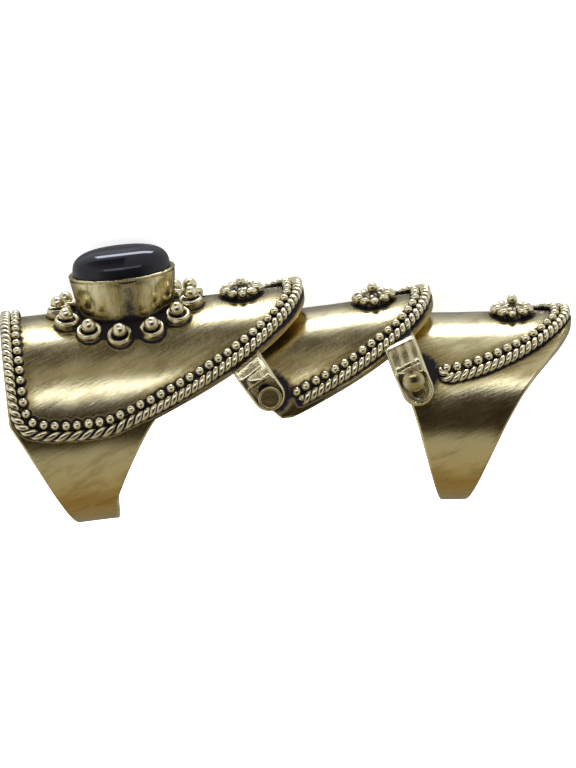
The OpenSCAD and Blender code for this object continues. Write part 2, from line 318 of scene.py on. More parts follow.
plate_brass = brass("plate_brass", rough=0.2, marks=0.65, olive=0.45, hammer=0.8)
ear_brass = brass("ear_brass", rough=0.2, fade=0.7, olive=0.2, hammer=2.5, pale=CREAM)
bead_brass = brass("bead_brass", rough=0.2, marks=0.5, patina=(0.1, 0.4), fade=0.6, olive=0.1,
                   pale=CREAM)
bezel_brass = brass("bezel_brass", rough=0.17, patina=(0.1, 0.6), olive=0.6, hammer=2.0)
rivet_brass = brass("rivet_brass", rough=0.13, marks=0.5, patina=(0.02, 0.3), olive=0.3)

# %% [markdown]
# ## Black stone
# The stone is opaque and polished like black glass, so it is a plain dark shader with sharp
# reflections of the lamps. Wiping leaves a faint grey haze and a few hair scratches, so the
# roughness varies a little.

# %% Stone finish
def stone_finish():
    m = Finish("black_stone")
    lie = m.attribute("lie", "Vector")
    haze = m.noise(lie, 0.5, 3.0, 0.5)
    scratch = m.noise(m.stretched(lie, (0.6, 9.0, 3.0)), 1.0, 3.0, 0.7).above(0.66, 0.72)
    m.feed(m.shader, {
        "Base Color": m.tint(haze, (0.002, 0.002, 0.003, 1), (0.006, 0.006, 0.008, 1)),
        "Roughness": haze * 0.04 + scratch * 0.1 + 0.03,
        "Specular IOR Level": 0.4,
    })
    return m.material


black_stone = stone_finish()

# %% [markdown]
# ## The rule of the plates
# Each plate is a piece of tube, cut between a front and a rear edge. The front edge is an
# arch, pointed on the base and the middle and blunter on the tip, and the shank of the base
# and of the tip narrows under the finger. The same two rules give those edges in the solids:
# `arch` for the plates, `taper` for the shanks.

# %% Edges of the plates
POINTED, BLUNT = (1.05, 2.3), (1.55, 2)  # the two powers of an arch
TUBE = {"base": (11.5, 10.1), "middle": (10.0, 8.7), "tip": (10.24, 8.84)}  # radii of the wall


def arch(a, a0, x0, x1, p, q):
    """Place along the finger of an arched edge, at angle a from the crown."""
    return x0 + (x1 - x0) * max(0.0, 1 - (min(a, a0) / a0) ** q) ** (1 / p)


def taper(a, a1, x1, grow, k):
    """The same for a shank, which is narrowest under the finger."""
    return x1 + grow * ((180 - a) / (180 - a1)) ** k


def front_edge(segment, a):
    """Where the plate or its shank ends toward the fingertip, at angle a from the crown."""
    if segment == "base":
        return max(arch(a, 90, 2, 24.65, *POINTED), 2 if a < 70 else taper(a, 87, 0.9, 5.4, 2.4))
    if segment == "middle":
        return arch(a, 84, -5, 11.6, *POINTED)
    return arch(a, 84, -2, 13.15, *BLUNT) if a < 45 else taper(a, 50, 1.6, 8, 2.1)


def rear_edge(segment, a):
    """And where it ends toward the hand."""
    if segment == "base":
        return max(-8.5, taper(a, 87, -2.5, -4.9, 1.8))
    if segment == "middle":
        return -8.6 + 0.16 * max(0, a - 70)
    return max(-5.85, taper(a, 60, -1.1, -4.3, 1.5))


def on_tube(x, a, r):
    """A point at angle a from the crown, near side positive."""
    return (x, -r * sin(radians(a)), r * cos(radians(a)))


print("plates reach from", {s: (rear_edge(s, 0), front_edge(s, 0)) for s in TUBE})

# %% [markdown]
# ## Where the rope and the beads run
# The rope follows the front edge a little way in. On the base it closes behind the stone, and
# on the tip its rear ends bend up in a short hook. Its path is written on the unrolled plate,
# as x and the arc from the crown, because there a row of beads a fixed distance inside it is a
# simple offset.

# %% Border paths
# the angle that the arch of rope reaches, the steps to it and their number, the arch's rule,
# and the x and angle of the points that the rope still passes behind it
BORDERS = {
    "base": (84, 6, 15, (84, 2, 24.05, *POINTED),
             [(-0.3, 84.3), (-3.7, 83.5), (-6.4, 80), (-7.5, 73)]
             + [(-7.84, a) for a in range(62, 1, -12)]),
    "middle": (74.5, 6, 15, (80.5, -7.3, 10.95, *POINTED), []),
    "tip": (57, 6.4, 13, (59, -2, 12.55, *BLUNT), [(-0.7, 58)]),
}
# the short hook in which the rope of the tip ends, which its beads leave out
HOOK = [(-1.15, 57.2), (-1.3, 55.2), (-1.2, 53.0)]


def border_half(segment):
    """Half of a rope's path as x and angle, from the crown's tip to the rear of one flank."""
    reach, step, count, rule, rest = BORDERS[segment]
    angles = [reach * sin(radians(step * i)) for i in range(1, count + 1)]
    return [(arch(a, *rule), a) for a in angles] + rest


def resampled(path, step, closed=False):
    """The same line through evenly spaced points, with its corners eased by a spline."""
    p = np.array(path, float)
    if closed:
        p = np.vstack([p[-1:], p, p[:2]])
    else:
        p = np.vstack([2 * p[0] - p[1], p, 2 * p[-1] - p[-2]])
    fine = []
    for i in range(1, len(p) - 2):
        a, b, c, d = p[i - 1], p[i], p[i + 1], p[i + 2]
        for t in np.arange(24) / 24:
            fine.append(0.5 * (2 * b + (c - a) * t + (2 * a - 5 * b + 4 * c - d) * t * t
                               + (3 * b - a - 3 * c + d) * t ** 3))
    fine.append(p[-2])
    fine = np.array(fine)
    s = np.concatenate([[0], np.cumsum(np.linalg.norm(np.diff(fine, axis=0), axis=1))])
    n = max(2, round(s[-1] / step))
    want = np.linspace(0, s[-1], n + 1)[: n if closed else n + 1]
    return np.column_stack([np.interp(want, s, fine[:, k]) for k in range(2)])


def heading(path, closed):
    """The direction of a line at each of its points."""
    ahead, behind = np.roll(path, -1, axis=0), np.roll(path, 1, axis=0)
    if not closed:
        ahead[-1], behind[0] = path[-1], path[0]
    t = ahead - behind
    return t / np.linalg.norm(t, axis=1)[:, None]


CLOSEST, FINE = 0.7, 0.1  # nearer points than the first would put a kink into the spline


def border_path(segment, step, inset=0.0):
    """The rope's line on the unrolled plate, or the line a given distance inside it."""
    r, closed = TUBE[segment][0], segment == "base"
    hook = HOOK if segment == "tip" and not inset else []
    half = [(x, radians(a) * r) for x, a in border_half(segment) + hook]
    tip = [(half[0][0] + 0.02, 0.0)]
    kept = half[:1]
    for x, s in half[1:]:
        if hypot(x - kept[-1][0], s - kept[-1][1]) > CLOSEST or (x, s) == half[-1]:
            kept.append((x, s))
    whole = [(x, -s) for x, s in reversed(kept)] + tip + kept
    path = resampled(whole, FINE, closed)
    t = heading(path, closed)
    moved = path + inset * np.column_stack([-t[:, 1], t[:, 0]])
    return resampled(moved, step, closed)


BEAD_IN, BEAD_R, BEAD_UP, BEAD_PITCH = 1.08, 0.51, 0.33, 1.2
ROPE_STEP, ROPE_HALF = 0.11, 0.5
ROPES = {s: border_path(s, ROPE_STEP) for s in TUBE}
BEADS = {s: border_path(s, BEAD_PITCH, BEAD_IN) for s in TUBE}
print("points of rope and beads", {s: (len(ROPES[s]), len(BEADS[s])) for s in TUBE})

# %% [markdown]
# ## Ornaments that stand on the plates
# Round the bezel stand granules, each a small dish with a ball in it, and near the tip of
# each plate is a rosette. Their feet are listed once, as circles and one oval on the unrolled
# plate, because the patina gathers round every foot. Round a rosette that black reaches out
# past its petals, where it also stands for their painted shadow.

# %% Places of the ornaments
BEZEL_X, BEZEL_A, BEZEL_B, BEZEL_TOP = 5.3, 5.78, 4.35, 15.75
GRANULES, GRANULE_A, GRANULE_B, GRANULE_R, GRANULE_H, BALL_R = 13, 7.3, 6.45, 1.4, 0.9, 0.78
ROSETTE_X = {"base": 17.9, "middle": 5.24, "tip": 6.72}
ROSETTE_R, ROSETTE_BALL = 1.9, 0.56
FIRST_GRANULE = 97
granule_turns = [radians(FIRST_GRANULE + 360 * i / GRANULES) for i in range(GRANULES)]
granule_feet = [(BEZEL_X + GRANULE_A * cos(t), GRANULE_B * sin(t)) for t in granule_turns]


def hinge_foot(segment, pin):
    """Where a pin goes into the plate under an ear, as x and arc."""
    r = TUBE[segment][0]
    return pin[0], r * acos(pin[2] / r)


# x and arc of the pin, radius of the black patch round it, and how far below the pin the plate
# shows through the ear's slot and is rubbed bright
HINGE_FEET = {
    "middle": (*hinge_foot("middle", PIN_1_ON_MIDDLE), 1.9, 0.0),
    "tip": (*hinge_foot("tip", PIN_2_ON_TIP), 2.4, 2.7),
}
SLOT_SHOWS = 1.3


def feet_distance(segment, x, arc):
    """Distance on the unrolled plate to the nearest ornament's foot."""
    # round a rosette the black reaches past its petals, partly patina and partly painted shadow
    # under them
    d = hypot(x - ROSETTE_X[segment], arc) - ROSETTE_R - 0.5
    if segment in HINGE_FEET:
        foot_x, foot_arc, black, shows = HINGE_FEET[segment]
        across, down = x - foot_x, abs(arc) - foot_arc
        rubbed = abs(across) < SLOT_SHOWS and 0 < down < shows
        d = min(d, 0.6 if rubbed else 0.35 * (hypot(across, down) - black))
    if segment == "base":
        d = min(d, min(hypot(x - gx, arc - gs) for gx, gs in granule_feet) - GRANULE_R)
        oval = hypot((x - BEZEL_X) / GRANULE_A, arc / GRANULE_B)
        d = min(d, (oval - 1) * GRANULE_B - 0.2)
    return d


print(len(granule_feet), "granules, hinge feet at", [np.round(f, 2) for f in HINGE_FEET.values()])

# %% [markdown]
# ## The plates
# A plate is made as one closed skin. Each row of the grid is a slice along the finger: over
# the outer face from rear to front, round the front edge, back along the inner face and round
# the rear edge. The corners are small quarter circles, because a cast edge is never sharp,
# and they catch the light. A slow wave of a few hundredths keeps the metal from looking turned.

# %% Plate skins
CORNER = 0.28
SKIN_IN, FRONT_IN = 0.04, 0.02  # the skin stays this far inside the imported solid
ASLANT = 0.042  # how steeply the brush marks wind round the finger, in radians per mm
PLAIN = 2.5  # `clear` of the inner side, where nothing stands
FOOT_GOLD = 0.45  # how much of the inner side's richer gold the foot of a shank shows
quarter = [radians(90 * k / 4) for k in range(5)]


def slice_of(x0, x1, r_out, r_in, outer, inner):
    """A closed slice of the wall as x, r and 1 where it is the inner side."""
    c, x1 = min(CORNER, (x1 - x0) / 3, (r_out - r_in) / 3), x1 - FRONT_IN
    pts = [(x, r_out, 0) for x in np.linspace(x0 + c, x1 - c, outer)[:-1]]
    pts += [(x1 - c + c * sin(t), r_out - c + c * cos(t), 0) for t in quarter]
    pts += [(x1 - c + c * cos(t), r_in + c - c * sin(t), 0.6) for t in quarter]
    pts += [(x, r_in, 1) for x in np.linspace(x1 - c, x0 + c, inner)[1:-1]]
    pts += [(x0 + c - c * sin(t), r_in + c - c * cos(t), 1) for t in quarter]
    pts += [(x0 + c - c * cos(t), r_out - c + c * sin(t), 0.6) for t in quarter[:-1]]
    return pts


def wave(x, arc):
    """How far hand work lifts the outer face off a true tube."""
    return 0.009 * (sin(0.9 * x + 0.5 * arc) + sin(0.37 * x - 0.8 * arc + 1.3)
                    + 0.8 * sin(0.5 * x + 1.1 * arc + 4 * sin(0.21 * x)))


def twist(a, x):
    """The way from the axis, wound round it like a screw, so that brush marks run aslant."""
    t = radians(a) + ASLANT * x
    return np.array([sin(t), cos(t)])


def plate(segment, flank, step, outer, inner=22):
    """A plate that reaches flank degrees down each side, in slices step degrees apart."""
    r_out, r_in = TUBE[segment]
    tree = KDTree(len(ROPES[segment]) + len(BEADS[segment]))
    lines = [(p, ROPE_HALF) for p in ROPES[segment]] + [(p, BEAD_R) for p in BEADS[segment]]
    for i, (p, _) in enumerate(lines):
        tree.insert((p[0], p[1], 0), i)
    tree.balance()
    closed = flank == 180
    n = round(2 * flank / step)
    angles = [-flank + 2 * flank * i / n for i in range(n if closed else n + 1)]
    points, clear, lie, within, cols = [], [], [], [], 0
    for a in angles:
        x0, x1 = rear_edge(segment, abs(a)), front_edge(segment, abs(a))
        ring = slice_of(x0, x1, r_out - SKIN_IN, r_in, outer, inner)
        cols = len(ring)
        arc = radians(a) * r_out
        for x, r, w in ring:
            points.append(on_tube(x, a, r + (wave(x, arc) if r > r_in + 0.5 else 0)))
            near = min(tree.find_n((x, arc, 0), 3), key=lambda hit: hit[2] - lines[hit[1]][1])
            d = min(near[2] - lines[near[1]][1], feet_distance(segment, x, arc))
            clear.append(PLAIN if w == 1 else d + 0.5 * w)
            lie.append((x, *r * twist(a, x)))
            within.append(max(w, FOOT_GOLD * step_up(abs(a), 105, 150)))
    return points, tube_faces(len(angles), cols, closed), clear, lie, within


for segment, flank, outer in (("base", 180, 88), ("middle", 84, 70), ("tip", 180, 70)):
    piece(f"{segment}_plate", plate(segment, flank, 1.5, outer), segment, segment, plate_brass,
          [f"{segment}_segment"])

# %% [markdown]
# ## The twisted rope
# The border wire is two round wires twisted together and soldered down. Each strand is a
# thin tube that winds round the border's path, half a turn behind the other, which gives the
# slanted ridges and dark grooves of real rope wire. Along the base's lower edge the twist is
# drawn out longer, and everywhere its top is pressed a little flat.

# %% Rope strands
ROPE_UP, STRAND_OFF, STRAND_R, STRAND_SIDES = 0.35, 0.27, 0.31, 10
TWIST, TWIST_MORE = 1.72, 0.78  # length of one full twist, and how much longer it can get
DRAWN_OUT = {"base": 77, "middle": 90, "tip": 90}  # the angle from which it gets longer
PRESSED_FROM, PRESSED = 0.72, 0.45  # above this height, this share is pressed away
GROOVE = 0.41  # nearer to the rope's spine than this it is dark


def lay_of_rope(segment, angle):
    """Length of one full twist: short on the arches, drawn out along a lower edge."""
    low = step_up(abs(angle), DRAWN_OUT[segment], DRAWN_OUT[segment] + 6)
    return TWIST + TWIST_MORE * low


def tube_round(line, r, closed, out):
    """A tube of radius r round a line; out gives the direction of its first side."""
    t = heading(line, closed)
    u = out - (out * t).sum(1)[:, None] * t
    u /= np.linalg.norm(u, axis=1)[:, None]
    v = np.cross(t, u)
    turns = [2 * pi * k / STRAND_SIDES for k in range(STRAND_SIDES)]
    rings = [line + r * (cos(a) * u + sin(a) * v) for a in turns]
    points = np.stack(rings, axis=1).reshape(-1, 3)
    return points, tube_faces(len(line), STRAND_SIDES, closed)


def rope(segment):
    """Both strands, wound round the border's path, which is rolled back onto the plate."""
    r, closed = TUBE[segment][0], segment == "base"
    path = ROPES[segment]
    angle = path[:, 1] / r
    normal = np.column_stack([0 * angle, -np.sin(angle), np.cos(angle)])
    centre = np.column_stack([path[:, 0], 0 * angle, 0 * angle]) + (r + ROPE_UP) * normal
    side = np.cross(normal, heading(centre, closed))
    pace = np.linalg.norm(np.roll(centre, -1, axis=0) - centre, axis=1)
    lay = [lay_of_rope(segment, degrees(a)) for a in angle[:-1]]
    turns = np.concatenate([[0], pace[:-1] / lay]).cumsum()
    if closed:
        turns *= round(turns[-1]) / turns[-1] * (len(path) - 1) / len(path)
    parts = []
    for strand in range(2):
        phase = 2 * pi * turns + pi * strand
        out = np.cos(phase)[:, None] * normal + np.sin(phase)[:, None] * side
        points, faces = tube_round(centre + STRAND_OFF * out, STRAND_R, closed, out)
        spine = np.repeat(centre, STRAND_SIDES, axis=0)
        up = np.repeat(normal, STRAND_SIDES, axis=0)
        away = np.linalg.norm(points - spine, axis=1)
        height = ((points - spine) * up).sum(1) + ROPE_UP
        pressed = np.maximum(height - PRESSED_FROM, 0) * PRESSED
        points = points - pressed[:, None] * up
        clear = np.minimum((away - GROOVE) * 5, height * 1.5 - 0.15)
        lie = np.column_stack([points[:, 0], np.repeat(path[:, 1], STRAND_SIDES), away])
        parts.append((points, faces, clear, lie, 0.0))
    return merge(parts)


for segment in TUBE:
    piece(f"{segment}_rope", rope(segment), segment, segment, bead_brass)

# %% [markdown]
# ## Beads
# Beads are little balls of melted brass, so no two are quite alike. One ball is made as a
# grid of rings, and it is copied with a seeded change of size and place. Its colour rises with
# height: the lower half sits in patina and the top is rubbed bright, and the same rise also
# paints shade on the bead's sides and a highlight on its top.

# %% Balls
dice = np.random.default_rng(7)


def stacked(ovals, sides, low, high):
    """Points and faces of ovals (half width, half depth, z), closed by a point at each end."""
    points = [(0, 0, low)]
    for a, b, z in ovals:
        points += [(a * cos(2 * pi * j / sides), b * sin(2 * pi * j / sides), z)
                   for j in range(sides)]
    points.append((0, 0, high))
    last = len(points) - 1
    faces = [(0, 1 + (j + 1) % sides, 1 + j) for j in range(sides)]
    faces += grid_faces(len(ovals), sides, first=1)
    faces += [(last, last - sides + j, last - sides + (j + 1) % sides) for j in range(sides)]
    return np.array(points, float), faces


def ball(r, rings, sides, taps=5, depth=0.14):
    """Points and faces of a ball with its poles along z, flattened by a few seeded taps."""
    turns = [pi * i / rings for i in range(1, rings)]
    points, faces = stacked([(r * sin(t), r * sin(t), -r * cos(t)) for t in turns], sides, -r, r)
    for _ in range(taps):
        way = dice.normal(size=3)
        way /= np.linalg.norm(way)
        over = np.maximum(points @ way - r * dice.uniform(1 - depth, 1.0), 0)
        points = points - np.outer(over * 0.85, way)
    return points, faces


def turned(points, a):
    """Points with z up, carried round the tube to angle a from the crown."""
    return np.asarray(points) @ turn_x(a).T


BEAD_ASTRAY = 0.035
APART = 17  # moves each bead to its own place in the noise


def bead_at(x, arc, r):
    """One bead, that sits on a tube of radius r."""
    points, faces = ball(BEAD_R, 11, 16)
    points = points * dice.uniform(0.96, 1.05)
    height = points[:, 2] + BEAD_UP
    astray = dice.uniform(-BEAD_ASTRAY, BEAD_ASTRAY, 2)
    points = points + (x + astray[0], astray[1], r + BEAD_UP)
    lie = points + (APART * arc, 0, 0)
    # colour by height: patina low down and wear on top, with painted shade on the sides and a
    # painted highlight on top
    return turned(points, degrees(arc / r)), faces, height * 1.6 - 0.42, lie, 0.0


for segment, (r, _) in TUBE.items():
    row = [bead_at(x, arc, r) for x, arc in BEADS[segment]]
    piece(f"{segment}_beads", merge(row), segment, segment, bead_brass)

# %% [markdown]
# ## Turned shapes
# Dishes, cones and rivet heads are round, so one helper spins a profile of radius and height.
# Where the profile turns sharply it has an extra point on each side, which keeps the shading
# crisp without a modifier.

# %% Lathe
def lathe(profile, sides):
    """Points and faces of a profile of (radius, height) spun about z, closed at both ends."""
    rings = [(radius, radius, height) for radius, height in profile]
    return stacked(rings, sides, profile[0][1], profile[-1][1])


def rounded(corners, r=0.08, steps=3):
    """A profile whose inner corners are eased by short arcs of about radius r."""
    p = [np.array(c, float) for c in corners]
    out = [p[0]]
    for a, b, c in zip(p, p[1:], p[2:]):
        before, after = a - b, c - b
        lb, la = np.linalg.norm(before), np.linalg.norm(after)
        cut = min(r, lb / 2.2, la / 2.2)
        s, e = b + before / lb * cut, b + after / la * cut
        for k in range(steps + 1):
            t = k / steps
            out.append((1 - t) ** 2 * s + 2 * t * (1 - t) * b + t * t * e)
    return out + [p[-1]]


# %% [markdown]
# ## Granules round the bezel
# Each granule is a dish with a raised rim, and a ball soldered in its middle. The dish's floor
# holds patina, so a dark ring shows round each ball.

# %% Granules
DISH = rounded([
    (GRANULE_R - 0.18, -0.55), (GRANULE_R - 0.1, 0.1), (GRANULE_R, 0.6), (GRANULE_R - 0.08, 0.82),
    (GRANULE_R - 0.24, GRANULE_H), (GRANULE_R - 0.42, 0.8), (GRANULE_R - 0.6, 0.6), (0.3, 0.52),
], 0.12)


def granule(gx, arc):
    """A dish and its ball, leaning the same way."""
    r = TUBE["base"][0]
    points, faces = lathe(DISH, 36)
    for _ in range(4):
        turn = dice.uniform(0, 2 * pi)
        way = np.array([cos(turn), sin(turn), 0.25])
        over = np.maximum(points @ way - GRANULE_R * dice.uniform(0.93, 1.08), 0)
        points = points - np.outer(over * 0.9, way)
    lean = turn_x(dice.uniform(-4, 4)) @ turn_y(dice.uniform(-4, 4))
    radius = np.hypot(points[:, 0], points[:, 1])
    hollow = np.where((radius < 0.95) & (points[:, 2] > 0), 0.0, 1.0)
    clear = np.minimum(points[:, 2] * 1.5 + 0.25, hollow)
    dish = (points @ lean.T + (gx, 0, r), faces, clear, points + (5 * gx, arc, 0), 0.0)
    points, faces = ball(BALL_R, 14, 24, taps=6, depth=0.1)
    clear = points[:, 2] * 1.2 + 0.7
    lift = (gx, 0, r + GRANULE_H + 0.45)
    top = (points @ lean.T + lift, faces, clear, points + (5 * gx, arc, 9), 0.0)
    a = degrees(arc / r)
    return [(turned(p, a), f, c, u, w) for p, f, c, u, w in (dish, top)]


granules = [part for gx, arc in granule_feet for part in granule(gx, arc)]
piece("granules", merge(granules), "base", "base", bead_brass)

# %% [markdown]
# ## Bezel
# The bezel is a strip of brass bent into an oval, a little wider at the top, and rubbed over
# the stone's edge. It was planished by hand, so its wall is not quite even. Its foot follows
# the curve of the plate and sinks into solder and patina.

# %% Bezel wall
# share of the wall's height, and how far it stands out there, from the foot to inside the edge
BEZEL_WALL = [
    (0.0, -0.55), (0.25, -0.42), (0.5, -0.28), (0.75, -0.12), (0.9, -0.04), (0.935, -0.06),
    (0.955, -0.02), (0.975, 0.02), (0.99, -0.02), (0.999, -0.1), (1.003, -0.22),
    (1.0, -0.36), (0.992, -0.46), (0.975, -0.54), (0.8, -0.54),
]
FOOT_SUNK, NICK = 0.35, 0.07
# dark and light bands painted round the bezel's flanks as a reflection: their strength, count and
# start
PAINTED_REFLECTION, PAINTED_REFLECTION_TURNS, PAINTED_REFLECTION_FROM = 0.93, 4.6, 0.09 + pi / 2  # the dark patches of its flanks


def bezel():
    r = TUBE["base"][0]
    sides = 120
    points, clear, lie = [], [], []
    for share, grow in BEZEL_WALL:
        for j in range(sides):
            t = 2 * pi * j / sides
            dent = (0.03 * sin(5 * t + 1) + 0.02 * sin(11 * t)) * (share < 0.9)
            y = (BEZEL_B + grow + dent) * sin(t)
            foot = sqrt(max(0, r * r - y * y)) - FOOT_SUNK
            z = foot + (BEZEL_TOP - foot) * share
            if share > 0.98:
                z -= NICK * max(0.0, sin(17 * t) * sin(29 * t + 1)) ** 2
            points.append((BEZEL_X + (BEZEL_A + grow + dent) * cos(t), y, z))
            # painted reflection: bands of dark and light round the wall, darkest in the middle of
            # each flank
            painted_reflection = PAINTED_REFLECTION * cos(PAINTED_REFLECTION_TURNS * (abs(t - pi) - PAINTED_REFLECTION_FROM))
            groove = 0.6 if 0.92 < share < 0.95 else 0.0
            clear.append(min((z - foot) * 1.1 - 0.5, 1.2 - painted_reflection) - groove)
            lie.append((z * 1.2, t * 5, 0))
    return points, grid_faces(len(BEZEL_WALL), sides), clear, lie, 0.0


piece("bezel", bezel(), "base", "base", bezel_brass)

# %% [markdown]
# ## Stone
# The cabochon is a cushion: an oval whose dome rises steeply at the rim and is almost flat on
# top. A superellipse gives that, with a higher power along the finger, where the shoulders
# are fuller, than across it. It replaces the faceted solid of the same size.

# %% Cabochon
STONE_A, STONE_B, STONE_DEEP, DOME_H = BEZEL_A - 0.48, BEZEL_B - 0.49, 2.07, 2.59
POWER_ALONG, POWER_ACROSS = 3.0, 2.3
CHAMFER = 0.2


def cabochon():
    a, b, steps = STONE_A, STONE_B, 22
    floor = BEZEL_TOP - STONE_DEEP
    ovals = [(a * (1 - CHAMFER / a), b * (1 - CHAMFER / b), floor), (a, b, floor + 2 * CHAMFER),
             (a, b, BEZEL_TOP - 0.05)]
    for i in range(1, steps + 1):
        t = radians(88.5 * i / steps)
        height = sin(t) ** (2 / POWER_ACROSS)
        f, g = ((1 - height ** power) ** (1 / power) for power in (POWER_ALONG, POWER_ACROSS))
        ovals.append((a * f, b * g, BEZEL_TOP + DOME_H * height))
    points, faces = stacked(ovals, 96, floor, ovals[-1][2] + 0.001)
    points += (BEZEL_X, 0, 0)
    return points, faces, 1.0, points.copy(), 0.0


piece("cabochon", cabochon(), "base", "base", black_stone, ["stone"])

# %% [markdown]
# ## Rosettes
# A rosette is a ring of short petals that lean outward round a dark, granular cone, and a
# post with a small ball stands in the middle. The petals are balls stretched along the way
# they point, then tipped down and hammered a little. Each was set by hand, so the three posts
# are not equally high.

# %% Rosettes
PETALS, PETAL_R, PETAL_STRETCH = 10, 0.5, (1.5, 1.0, 0.95)
PETAL_OUT, PETAL_UP, PETAL_LEAN = 1.82, 0.6, 30
BALL_UP = {"base": 1.3, "middle": 1.5, "tip": 1.6}
CONE = [(1.8, -0.4), (1.72, 0.35), (1.45, 0.72), (1.12, 0.9), (0.8, 1.0), (0.55, 1.06),
        (0.34, 1.12), (0.3, 1.3)]
GRAIN = 0.06  # how rough the cone is


def rosette(segment):
    r, x0 = TUBE[segment][0], ROSETTE_X[segment]
    parts = []
    for i in range(PETALS):
        t = 2 * pi * (i + 0.5 + dice.uniform(-0.1, 0.1)) / PETALS
        points, faces = ball(PETAL_R, 11, 16, taps=6, depth=0.16)
        points = points * PETAL_STRETCH * dice.uniform(0.94, 1.04)
        lie = points + (9 * i, x0, 0)
        points = points @ turn_y(PETAL_LEAN).T
        height = points[:, 2] + PETAL_UP
        spin = np.array([[cos(t), -sin(t), 0], [sin(t), cos(t), 0], [0, 0, 1]])
        points = points @ spin.T + (x0 + PETAL_OUT * cos(t), 0, r + PETAL_UP)
        points = turned(points, degrees(PETAL_OUT * sin(t) / r))
        parts.append((points, faces, height * 1.3 - 0.1, lie, 0.0))
    cone, faces = lathe(CONE, 40)
    cone[:, 2] += dice.uniform(-GRAIN, GRAIN, len(cone)) * (cone[:, 2] > 0)
    lie = cone * 1.7 + (x0, 0, 0)
    parts.append((cone + (x0, 0, r), faces, dice.uniform(-0.1, 0.55, len(cone)), lie, 0.0))
    top, faces = ball(ROSETTE_BALL, 14, 22, taps=7)
    clear = top[:, 2] * 1.1 + 0.55
    parts.append((top + (x0, 0, r + BALL_UP[segment]), faces, clear, top + (3, 3, 3), 0.0))
    return merge(parts)


for segment in TUBE:
    piece(f"{segment}_rosette", rosette(segment), segment, segment, bead_brass)

# %% [markdown]
# ## Ears of the hinges
# Two ears hang from each front edge, one on each flank. An ear is a strap with a round end,
# hollowed inside a rim, and a slot runs through the hollow. Across the first pair of ears run
# two raised ridges. An ear is built as rings of points between the slot and the strap's
# outline, seen from the side, and then given its thickness and its relief.

# %% Outlines of the ears
# All is measured from the pin, along a strap that leans back by `lean` degrees: `up` is its
# upper end, `end` the centre of its round end, `slot` the way the pin can slide, `hollow` where
# the hollow stops, `black` where the strap goes under the border. `floor` is how bright the
# hollow is. `face` and `back` give both faces as z and distance from the finger's middle.
EARS = {
    "base": dict(at=PIN_1, lean=29, up=5.0, end=0.2, slot=(0, 0.8), hollow=1.75,
                 ridges=(3.3, 4.1), black=4.4, floor=0.22,
                 face=((-9, 11.2), (4.8, 11.2), (6, 10.3), (8.2, 8.9)),
                 back=((-9, 10.15), (4.4, 10.15), (5.8, 9.0), (7.6, 7.6))),
    "middle": dict(at=PIN_2, lean=15, up=4.2, end=-1.25, slot=(-1.6, 0), hollow=1.3,
                   ridges=(), black=3.6, floor=0.45,
                   face=((-9, 11.0), (4.4, 11.0), (6.4, 9.0), (8.3, 7.2)),
                   back=((-9, 10.05), (3.9, 10.05), (6, 7.5), (7.7, 5.9))),
}
EAR_HALF, SLOT_HALF = 1.76, 0.73


def outline_point(turn, start, up, end):
    """Where a ray from the slot's middle meets the strap's outline, across and along it."""
    du, dv = cos(turn), sin(turn)
    hits = []
    if abs(du) > 1e-9:
        t = EAR_HALF / abs(du)
        if end <= start + t * dv <= up:
            hits.append(t)
    if dv > 0 and abs(du) * (up - start) / dv <= EAR_HALF:
        hits.append((up - start) / dv)
    b = (start - end) * dv
    t = -b + sqrt(max(0, b * b - (start - end) ** 2 + EAR_HALF ** 2))
    if start + t * dv <= end:
        hits.append(t)
    t = min(hits)
    return t * du, start + t * dv


def slot_point(turn, start, low, high):
    """The same for the slot's own outline."""
    du, dv = cos(turn), sin(turn)
    lo, hi = 0.0, 4.0
    for _ in range(30):
        t = (lo + hi) / 2
        v = start + t * dv
        inside = hypot(t * du, v - min(max(v, low), high)) < SLOT_HALF
        lo, hi = (t, hi) if inside else (lo, t)
    return lo * du, start + lo * dv


print("ears end", [round(EAR_HALF - e["end"], 2) for e in EARS.values()], "mm past their pins")

# %% [markdown]
# The relief of an ear is a sum of small steps: the rim's rounded edge, the hollow, the ridges,
# a slight bulge and a few hammer taps, and a dark line is painted just below each ridge. Where
# the strap goes under the border it sinks and is painted black as the border's shade, so that
# it seems to grow out of the solder.

# %% Ear skins
EDGE_ROUND, HOLLOW_DEEP, RIDGE_H, TAP_H, BULGE, BULGE_DOWN = 0.22, 0.3, 0.13, 0.06, 0.1, 0.14
# the third value darkens the strap under the border as painted shade
BRIGHT, GROOVE_DARK, UNDER_PAINTED_SHADE, UNDER_DEEP = 0.9, 0.7, 0.95, 0.6


def ear_relief(e, u, v):
    """How far an ear stands out at u across and v along the strap, and how bright it is, painted
    dark under the border as shade.
    """
    edge = EAR_HALF - (abs(u) if v > e["end"] else hypot(u, v - e["end"]))
    round_off = EDGE_ROUND * (1 - min(1, max(0, edge) / EDGE_ROUND)) ** 2
    stops = 1 - step_up(v, e["hollow"], e["hollow"] + 0.3)
    hollow = HOLLOW_DEEP * step_up(edge, 0.3, 0.5) * stops
    bar = sum(RIDGE_H * exp(-((v - ridge) / 0.16) ** 2) for ridge in e["ridges"])
    groove = sum(exp(-((v - ridge + 0.34) / 0.1) ** 2) for ridge in e["ridges"])
    taps = TAP_H * sin(3.1 * u + 1.7 * v) * sin(2.3 * v - 2.9 * u + 1) * (v > e["hollow"])
    bulge = BULGE * (1 - (u / EAR_HALF) ** 2) * (hollow < 0.01) - BULGE_DOWN
    # where the strap goes under the border it sinks, and is painted dark there as the border's
    # shade
    under = step_up(v, e["black"] - 0.1, e["black"] + 0.3)
    bright = BRIGHT - hollow * (BRIGHT - e["floor"]) / HOLLOW_DEEP - GROOVE_DARK * groove
    return bar + bulge + taps - hollow - round_off - UNDER_DEEP * under, bright - UNDER_PAINTED_SHADE * under


